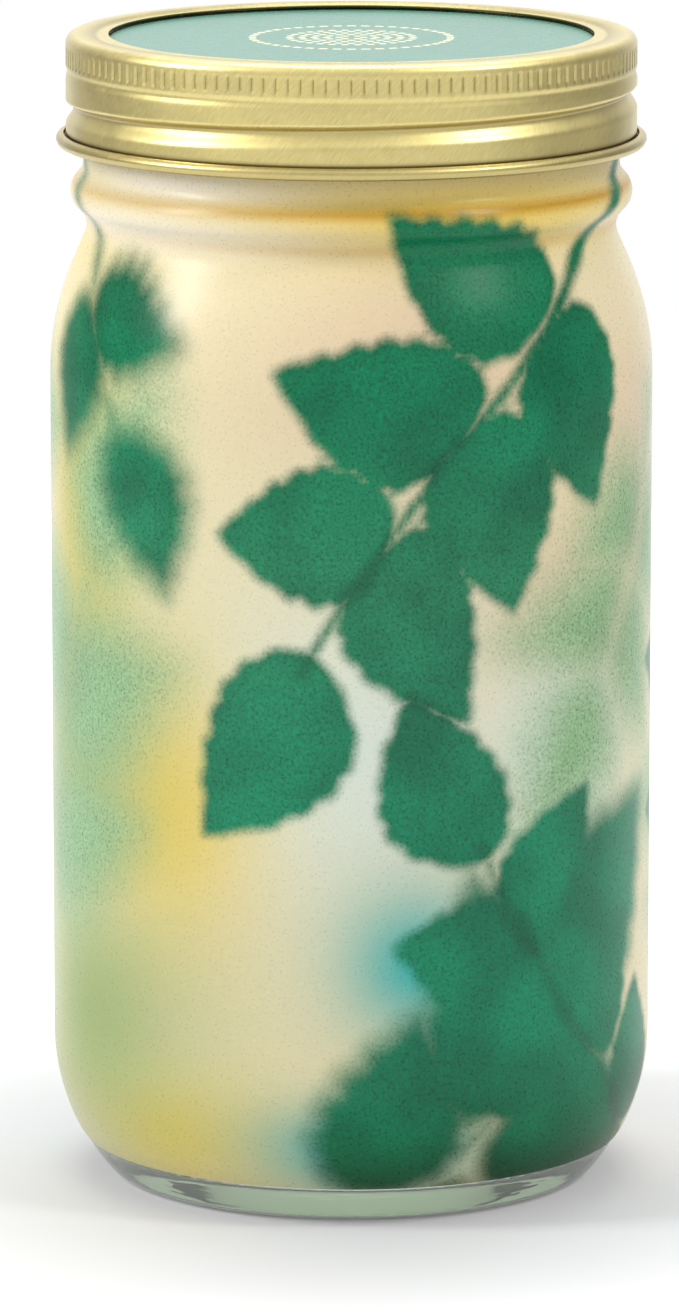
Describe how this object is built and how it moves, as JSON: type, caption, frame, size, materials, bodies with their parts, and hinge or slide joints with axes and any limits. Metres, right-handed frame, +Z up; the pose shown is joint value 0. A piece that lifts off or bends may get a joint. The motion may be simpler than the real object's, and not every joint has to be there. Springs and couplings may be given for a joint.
{
  "type": "hydroponic jar planter",
  "caption": "Wide-mouth glass jar planter in a printed film sleeve, with a two-piece screw lid, a slotted net pot, a felt wick and growing supplies stacked inside.",
  "frame": {"origin": "centre of the ring that the jar stands on, at the table surface", "axes": "+Z up along the jar's axis; -Y towards the side shown in the picture"},
  "size_m": [0.0928, 0.0928, 0.178],
  "materials": {
    "clear_glass": "clear, faint green tint",
    "printed_film": "glossy printed shrink film",
    "brass_band": "satin, fine brushed",
    "enamel_disc": "baked enamel, satin",
    "gasket_rubber": "matte",
    "black_plastic": "moulded, matte",
    "wick_felt": "needled felt",
    "coir": "coarse fibre",
    "filter_cloth": "non-woven cloth",
    "kraft_foil": "kraft and foil laminate",
    "seed_paper": "uncoated paper",
    "guide_paper": "coated paper"
  },
  "bodies": {
    "jar": {"glass_jar": "clear_glass", "film_sleeve": "printed_film", "net_pot": "black_plastic", "felt_wick": "wick_felt", "grow_medium": "coir", "carbon_pouch": "filter_cloth", "plant_food_pouch": "kraft_foil", "seed_packet": "seed_paper", "guide_booklet": "guide_paper"},
    "lid": {"lid_disc": "enamel_disc", "lid_gasket": "gasket_rubber"},
    "band": {"screw_band": "brass_band"}
  },
  "joints": [
    {"name": "lid_lift", "type": "slide", "parent": "jar", "child": "lid", "axis": [0, 0, 1], "range_m": [0, 0.0254]},
    {"name": "band_turn", "type": "hinge", "parent": "lid", "child": "band", "pos_m": [0, 0, 0.17], "axis": [0, 0, 1], "range_deg": [0, 1800]}
  ],
  "couplings": [
    {"joint": "lid_lift", "follows": "band_turn", "m_per_rad": 0.00080851}
  ]
}
